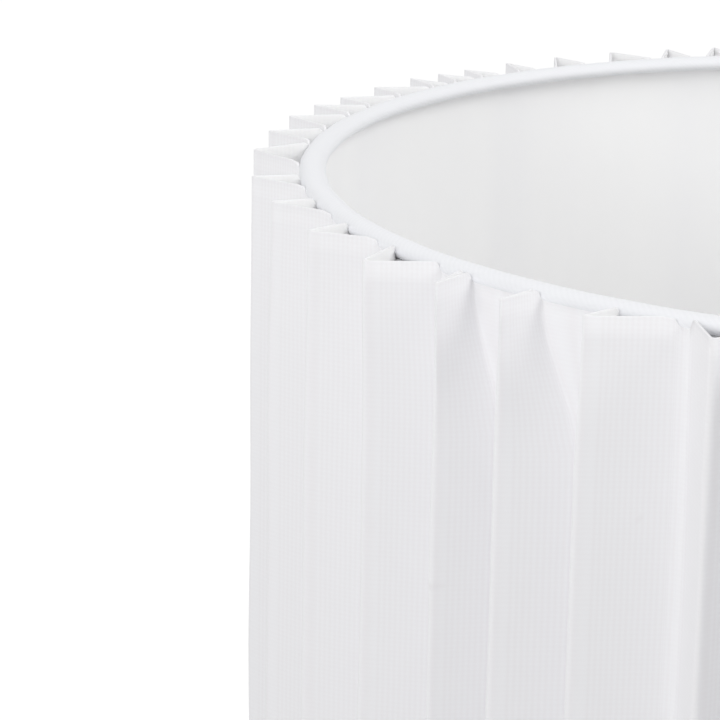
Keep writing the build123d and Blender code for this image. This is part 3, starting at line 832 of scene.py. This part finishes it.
def makeBase(settings):
    padLow, padHigh = nodeBox("base_pad")
    rim = padHigh[0]
    edge = settings["feltEdge"]
    outline = roundCorners(squareSection(0, rim, 0, padHigh[2]), [0, edge, edge, 0], False)

    def wander(radius, height, angle):
        # the rim moves in by a product of two sines of the angle
        return radius - settings["feltWander"] * (radius > rim - 2) * (1 + np.sin(37 * angle) * np.sin(11 * angle))

    pad = turned("feltPad", refine(outline, False, 6.0), False, 240, wander)
    finishPiece(pad, feltMaterial, "stand", "felt", "base_pad")

    low, high = nodeBox("base_cover")
    rim, top, sheet, edge = high[0], high[2], settings["sheet"], settings["topEdge"]
    hole, lip = settings["hole"], settings["lip"]
    inner, foot = rim - sheet, low[2]
    corners = [(hole, top), (rim, top), (rim, foot), (inner, foot), (inner, top - sheet), (hole, top - sheet)]
    outline = roundCorners(corners, [0.3, edge, lip, lip, edge - sheet, 0.3], True, 8)
    cover = turned("spunBaseCover", refine(outline, True, 4.0), True, 288)
    cutHole(cover, (0, rim - 6, settings["inletHeight"]), (0, 1, 0), settings["inletRadius"], 12)
    finishPiece(cover, steelMaterial, "stand", "satin_steel", "base_cover")

    low, high = nodeBox("cord_grommet")
    bore, neck, flange = settings["grommetBore"], settings["grommetNeck"], high[0]
    seat = high[1] - settings["grommetFlange"]
    corners = [(bore, low[1]), (neck, low[1]), (neck, seat), (flange, seat), (flange, high[1]), (bore, high[1])]
    outline = refine(roundCorners(corners, [0.25, 0.4, 0.1, 0.3, 0.6, 0.5], True), True, 1.0)
    grommet = placed(turned("inletGrommet", outline, True, 72),
                     Matrix.Translation((0, 0, settings["inletHeight"] * mm)) @ Matrix.Rotation(-math.pi / 2, 4, "X"))
    finishPiece(grommet, rubberMaterial, "stand", "grommet_rubber", "cord_grommet")

    low, high = nodeBox("foot_collar")
    corners = squareSection(settings["collarHole"], high[0], low[2], high[2])
    outline = refine(roundCorners(corners, [0.2, 0.3, settings["collarEdge"], 0.3], True, 8), True, 1.0)
    finishPiece(turned("turnedFootCollar", outline), steelMaterial, "stand", "satin_steel", "foot_collar")

    low, high = nodeBox("stem_tube")
    corners = squareSection(settings["stemHole"], high[0], low[2], high[2])
    outline = refine(roundCorners(corners, [0.25] * 4, True), True, 8.0)
    finishPiece(turned("stemTube", outline, True, 96), steelMaterial, "stand", "satin_steel", "stem_tube")


makeBase(base)
print("base and stem made")


# lampholder: cap, threaded shell, shade ring, locking screw

holder = {
    "boss": 9.0,
    "bossHeight": 4.0,
    "bore": 4.95,
    "capBore": 19.9,
    "capFloor": 11.0,
    "capCurve": 5.0,
    "shellBore": 17.3,
    "threadPitch": 3.0,
    "threadDepth": 0.7,
    "threadFrom": 4.0,         # above the cap
    "shadeRingBore": 19.9, "shadeRingRadius": 27.0,
    "grips": 12, "gripDepth": 0.8, "gripWidth": 1.6,
    "screwHole": 1.55,
    "screwSlot": 0.36,         # from the middle of the slot to a corner of its section
}
switchLow, switchHigh = nodeBox("switch_knob")
switchLevel = (switchLow[2] + switchHigh[2]) / 2
shaftHole = 2.3


def makeHolder(settings):
    low, high = nodeBox("holder_cap")
    foot, top, wide, floor = low[2], high[2], high[0], low[2] + settings["capFloor"]
    step = foot + settings["bossHeight"]
    bore, boss, inner = settings["bore"], settings["boss"], settings["capBore"]
    corners = [(bore, foot), (boss, foot), (boss, step), (wide, step), (wide, top), (inner, top), (inner, floor),
               (bore, floor)]
    radii = [0.3, 0.6, 0.8, settings["capCurve"], 0.6, 0.4, 0.8, 0.3]
    outline = refine(roundCorners(corners, radii, True, 8), True, 3.0)
    cap = turned("holderCap", outline, True, 192)
    cutHole(cap, (16, 0, switchLevel), (1, 0, 0), shaftHole, 12)
    screwLow, screwHigh = nodeBox("locking_screw")
    screwLevel = (screwLow[2] + screwHigh[2]) / 2
    cutHole(cap, (0, -4.0, screwLevel), (0, -1, 0), settings["screwHole"], 8, 32)
    finishPiece(cap, holderMaterial, "stand", "holder_plastic", "holder_cap")

    low, high = nodeBox("holder_shell")
    corners = squareSection(settings["shellBore"], high[0], low[2], high[2])
    outline = refine(roundCorners(corners, [0.3, 0.4, 0.8, 0.8], True), True, 0.3)
    first, last = top + settings["threadFrom"], high[2] - 2.5

    def thread(radius, height, angle):
        # helical groove: rounded roots between flat crests, run in and out over 2 mm
        turns = height / settings["threadPitch"] - angle / (2 * np.pi)
        groove = np.clip(0.15 - np.cos(2 * np.pi * turns), 0, 1)
        fade = smoothStep((height - first) / 2) * smoothStep((last - height) / 2)
        return radius - settings["threadDepth"] * groove * fade * (radius > high[0] - 0.5)

    shell = turned("threadedHolderShell", outline, True, 144, thread)
    cutHole(shell, (14, 0, switchLevel), (1, 0, 0), shaftHole, 12)
    finishPiece(shell, holderMaterial, "stand", "holder_plastic", "holder_shell")

    low, high = nodeBox("shade_ring")
    wide = settings["shadeRingRadius"]
    corners = squareSection(settings["shadeRingBore"], wide, low[2], high[2])
    outline = refine(roundCorners(corners, [0.5, 0.7, 0.9, 0.5], True), True, 1.0)

    def grips(radius, height, angle):
        # notches round the rim, each half an ellipse
        across = (angle * settings["grips"] / (2 * np.pi) + 0.5) % 1 - 0.5
        width = settings["gripWidth"] / (2 * np.pi * wide / settings["grips"])
        notch = np.sqrt(np.clip(1 - (across / (0.65 * width)) ** 2, 0, 1))
        return np.minimum(radius, wide - settings["gripDepth"] * notch)

    ring = turned("shadeRing", outline, True, 432, grips)
    finishPiece(ring, holderMaterial, "stand", "holder_plastic", "shade_ring")

    front, length = screwLow[1], screwHigh[1] - screwLow[1]
    radius = (screwHigh[2] - screwLow[2]) / 2
    outline = roundCorners(squareSection(0, radius, 0, length), [0, 0.25, 0.2, 0], False)
    screw = placed(turned("lockingScrew", refine(outline, False, 1.0), False, 48),
                   Matrix.Translation((0, front * mm, screwLevel * mm)) @ Matrix.Rotation(-math.pi / 2, 4, "X"))
    cutHole(screw, (-3, front, screwLevel), (1, 0, 0), settings["screwSlot"], 6, 4)
    finishPiece(screw, zincMaterial, "stand", "zinc_steel", "locking_screw")


makeHolder(holder)

knob = {
    "radius": 6.0, "bore": 2.05, "boreDepth": 8.0,
    "flutes": 12, "fluteDepth": 0.55,
    "front": 1.1, "back": 0.4,
}


def makeKnob(settings):
    length = switchHigh[0] - switchLow[0]
    bore, depth, wide = settings["bore"], settings["boreDepth"], settings["radius"]
    corners = [(0, depth), (bore, depth), (bore, 0), (wide, 0), (wide, length), (0, length)]
    radii = [0, 0.1, 0.2, settings["back"], settings["front"], 0]
    outline = refine(roundCorners(corners, radii, False, 8), False, 0.8)

    def flutes(radius, height, angle):
        # scalloped grip: a clipped cosine of the angle makes rounded grooves with narrow lands, which die out in the
        # curve at the front
        groove = np.clip(0.35 + 0.65 * np.cos(settings["flutes"] * angle), 0, 1) ** 0.7
        fade = (radius > wide - 1.2) * smoothStep((length - height) / 1.5)
        return radius - settings["fluteDepth"] * groove * fade

    place = Matrix.Translation((switchLow[0] * mm, 0, switchLevel * mm)) @ Matrix.Rotation(math.pi / 2, 4, "Y")
    piece = placed(turned("switchKnob", outline, False, 288, flutes), place)
    finishPiece(piece, holderMaterial, "switch", "holder_plastic", "switch_knob")


makeKnob(knob)
print("lampholder and switch made")


# bulb

bulb = {
    "contact": 4.5,
    "cap": 13.1,
    "threadPitch": 3.62, "threadDepth": 0.85,
    "neck": 13.6,
    "shoulder": 2.6,
    "crown": 10.0,
}


def makeBulb(settings):
    low, high = nodeBox("bulb_contact")
    wide = settings["contact"]
    corners = [(0, low[2]), (wide - 1.2, low[2] + 0.15), (wide, high[2]), (0, high[2])]
    button = turned("contactButton", roundCorners(corners, [0, 1.0, 0, 0], False), False, 64)
    finishPiece(button, brassMaterial, "stand", "contact_brass", "bulb_contact")

    low, high = nodeBox("bulb_cap")
    wide = settings["cap"]
    corners = [(0, low[2]), (7.5, low[2]), (wide, low[2] + 4.5), (wide, high[2]), (0, high[2])]
    outline = refine(roundCorners(corners, [0, 0.6, 2.0, 0.2, 0], False), False, 0.3)

    def thread(radius, height, angle):
        # rolled thread: a plain cosine helix, run out over 2 mm at both ends
        turns = height / settings["threadPitch"] - angle / (2 * np.pi)
        fade = smoothStep((height - low[2] - 3.5) / 2) * smoothStep((high[2] - 2.5 - height) / 2)
        return radius - settings["threadDepth"] * (0.5 - 0.5 * np.cos(2 * np.pi * turns)) * fade * (radius > wide - 1)

    screwCap = turned("screwCap", outline, False, 128, thread)
    finishPiece(screwCap, capMetalMaterial, "stand", "bulb_cap_metal", "bulb_cap")

    low, high = nodeBox("bulb_housing")
    wide, neck = high[0], settings["neck"]
    corners = [(0, low[2]), (neck, low[2]), (wide - 0.8, low[2] + 4.5), (wide, high[2]), (0, high[2])]
    outline = refine(roundCorners(corners, [0, 0.5, 3.0, 0.3, 0], False, 8), False, 2.0)
    finishPiece(turned("bulbHousing", outline, False, 144), bulbMaterial, "stand", "bulb_plastic", "bulb_housing")

    low, high = nodeBox("bulb_tube")
    wide, shoulder = high[0], settings["shoulder"]
    corners = [(0, low[2]), (wide - shoulder, low[2]), (wide, low[2] + 2 * shoulder), (wide, high[2]), (0, high[2])]
    outline = refine(roundCorners(corners, [0, 0.8, 4.0, settings["crown"], 0], False, 16), False, 3.0)
    finishPiece(turned("opalTube", outline, False, 192), opalMaterial, "stand", "opal_diffuser", "bulb_tube")


makeBulb(bulb)
print("bulb made")


# CAD parts that stay as they are, out of sight inside the base, the stem and the lampholder

for material, names in ((ironMaterial, ["base_weight"]),
                        (zincMaterial, ["threaded_rod", "rod_nut", "rod_washer", "switch_shaft", "terminal_screws"]),
                        (ceramicMaterial, ["holder_core"]),
                        (brassMaterial, ["screw_shell", "centre_contact", "terminals"]),
                        (holderMaterial, ["switch_block"])):
    for name in names:
        cadNodes[name].data.materials.clear()
        cadNodes[name].data.materials.append(material)
print("kept CAD parts painted")
